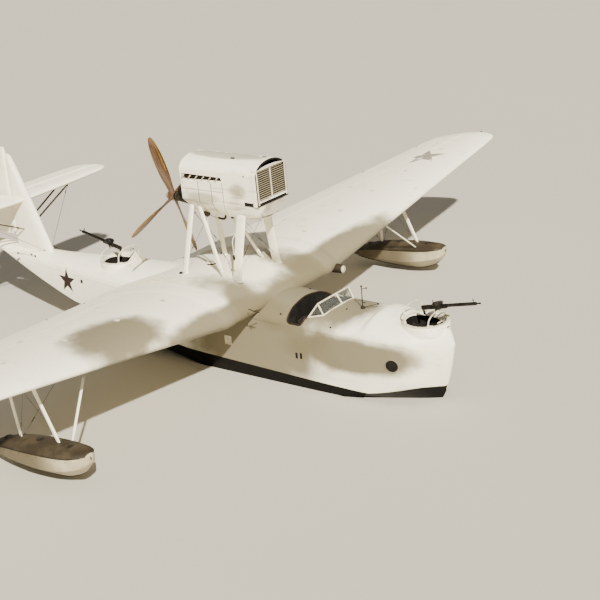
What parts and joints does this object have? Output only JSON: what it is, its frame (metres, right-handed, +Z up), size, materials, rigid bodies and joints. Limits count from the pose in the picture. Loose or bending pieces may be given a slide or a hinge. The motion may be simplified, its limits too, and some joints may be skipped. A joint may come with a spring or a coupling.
{
  "type": "flying boat",
  "caption": "Wooden flying boat with a shoulder wing, a strut-mounted pusher engine above it, wing floats, an open cockpit and open gun rings at nose and back.",
  "frame": {"origin": "on the centreline at the main step, on the waterline", "axes": "+X forward to the nose, +Y to port, +Z up"},
  "size_m": [13.6667, 19, 5.2184],
  "materials": {
    "hull_paint": "cream oil paint over plywood, matt, with soft grey-beige patches",
    "bottom_paint": "black tar varnish over planking, half gloss",
    "wing_paint": "cream paint over plywood and fabric, matt",
    "surface_fabric": "doped and painted fabric over ribs",
    "strut_paint": "cream paint, half matt",
    "cowl_metal": "painted sheet, cream-grey",
    "radiator_metal": "painted frame with worn slats",
    "dark_metal": "black enamel, oily",
    "exhaust_steel": "heat-stained steel",
    "propeller_wood": "varnished laminated wood",
    "float_paint": "grey-beige paint over plywood",
    "ring_metal": "pale paint on tube and strip",
    "gun_steel": "blued steel, worn",
    "clear_pane": "thin flat panes",
    "seat_leather": "dark brown hide",
    "panel_paint": "matt black"
  },
  "bodies": {
    "root": {"hull_bottom_fore": "bottom_paint", "hull_bottom_aft": "bottom_paint", "hull_nose": "hull_paint", "hull_cockpit": "hull_paint", "hull_centre": "hull_paint", "hull_aft": "hull_paint", "hull_tail": "hull_paint", "fin": "hull_paint", "wing_centre": "wing_paint", "wing_left": "wing_paint", "wing_right": "wing_paint", "tailplane_left": "wing_paint", "tailplane_right": "wing_paint", "tail_strut_front_left": "strut_paint", "tail_strut_front_right": "strut_paint", "tail_strut_rear_left": "strut_paint", "tail_strut_rear_right": "strut_paint", "pylon_front_left": "strut_paint", "pylon_front_right": "strut_paint", "pylon_rear_left": "strut_paint", "pylon_rear_right": "strut_paint", "pylon_diagonal_left": "strut_paint", "pylon_diagonal_right": "strut_paint", "cowl_lower": "cowl_metal", "cowl_upper": "cowl_metal", "radiator_grille": "radiator_metal", "radiator_block": "dark_metal", "engine_block": "dark_metal", "exhaust_left": "exhaust_steel", "exhaust_right": "exhaust_steel", "gearbox": "dark_metal", "float_left": "float_paint", "float_right": "float_paint", "float_strut_front_left": "strut_paint", "float_strut_front_right": "strut_paint", "float_strut_rear_left": "strut_paint", "float_strut_rear_right": "strut_paint", "float_strut_brace_left": "strut_paint", "float_strut_brace_right": "strut_paint", "wind_hood": "hull_paint", "windscreen_frame": "ring_metal", "windscreen_glass": "clear_pane", "seat_left": "seat_leather", "seat_right": "seat_leather", "control_column": "dark_metal", "instrument_panel": "panel_paint", "sight_mast": "dark_metal"},
    "propeller": {"propeller": "propeller_wood"},
    "aileron_left": {"aileron_left": "surface_fabric"},
    "aileron_right": {"aileron_right": "surface_fabric"},
    "elevators": {"elevator_left": "surface_fabric", "elevator_right": "surface_fabric"},
    "rudder": {"rudder": "surface_fabric"},
    "nose_ring": {"nose_ring": "ring_metal"},
    "nose_gun": {"nose_gun": "gun_steel"},
    "rear_ring": {"rear_ring": "ring_metal"},
    "rear_gun": {"rear_gun": "gun_steel"}
  },
  "joints": [
    {"name": "propeller_spin", "type": "hinge", "parent": "root", "child": "propeller", "pos_m": [-0.99, 0, 3.35], "axis": [1, 0, 0], "continuous": true},
    {"name": "aileron_left_hinge", "type": "hinge", "parent": "root", "child": "aileron_left", "pos_m": [-0.9685, 2.01, 1.6163], "axis": [0.218, 0.9688, 0.1181], "range_deg": [-20, 20]},
    {"name": "aileron_right_hinge", "type": "hinge", "parent": "root", "child": "aileron_right", "pos_m": [-0.9685, -2.01, 1.6163], "axis": [-0.218, 0.9688, -0.1181], "range_deg": [-20, 20]},
    {"name": "elevator_hinge", "type": "hinge", "parent": "root", "child": "elevators", "pos_m": [-6.34, 0, 2.8], "axis": [0, 1, 0], "range_deg": [-25, 25]},
    {"name": "rudder_hinge", "type": "hinge", "parent": "root", "child": "rudder", "pos_m": [-6.25, 0, 2.8], "axis": [0, 0, 1], "range_deg": [-25, 25]},
    {"name": "nose_ring_turn", "type": "hinge", "parent": "root", "child": "nose_ring", "pos_m": [5.07, 0, 1.54], "axis": [0, 0, 1], "continuous": true},
    {"name": "nose_gun_elevation", "type": "hinge", "parent": "nose_ring", "child": "nose_gun", "pos_m": [5.33, 0, 1.8205], "axis": [0, -1, 0], "range_deg": [-17, 51]},
    {"name": "rear_ring_turn", "type": "hinge", "parent": "root", "child": "rear_ring", "pos_m": [-2.86, 0, 1.73], "axis": [0, 0, 1], "range_deg": [-140, 140]},
    {"name": "rear_gun_elevation", "type": "hinge", "parent": "rear_ring", "child": "rear_gun", "pos_m": [-3.12, 0, 2.0055], "axis": [0, 1, 0], "range_deg": [-17, 51]}
  ],
  "couplings": [
    {"joint": "aileron_right_hinge", "follows": "aileron_left_hinge", "ratio": -1}
  ]
}
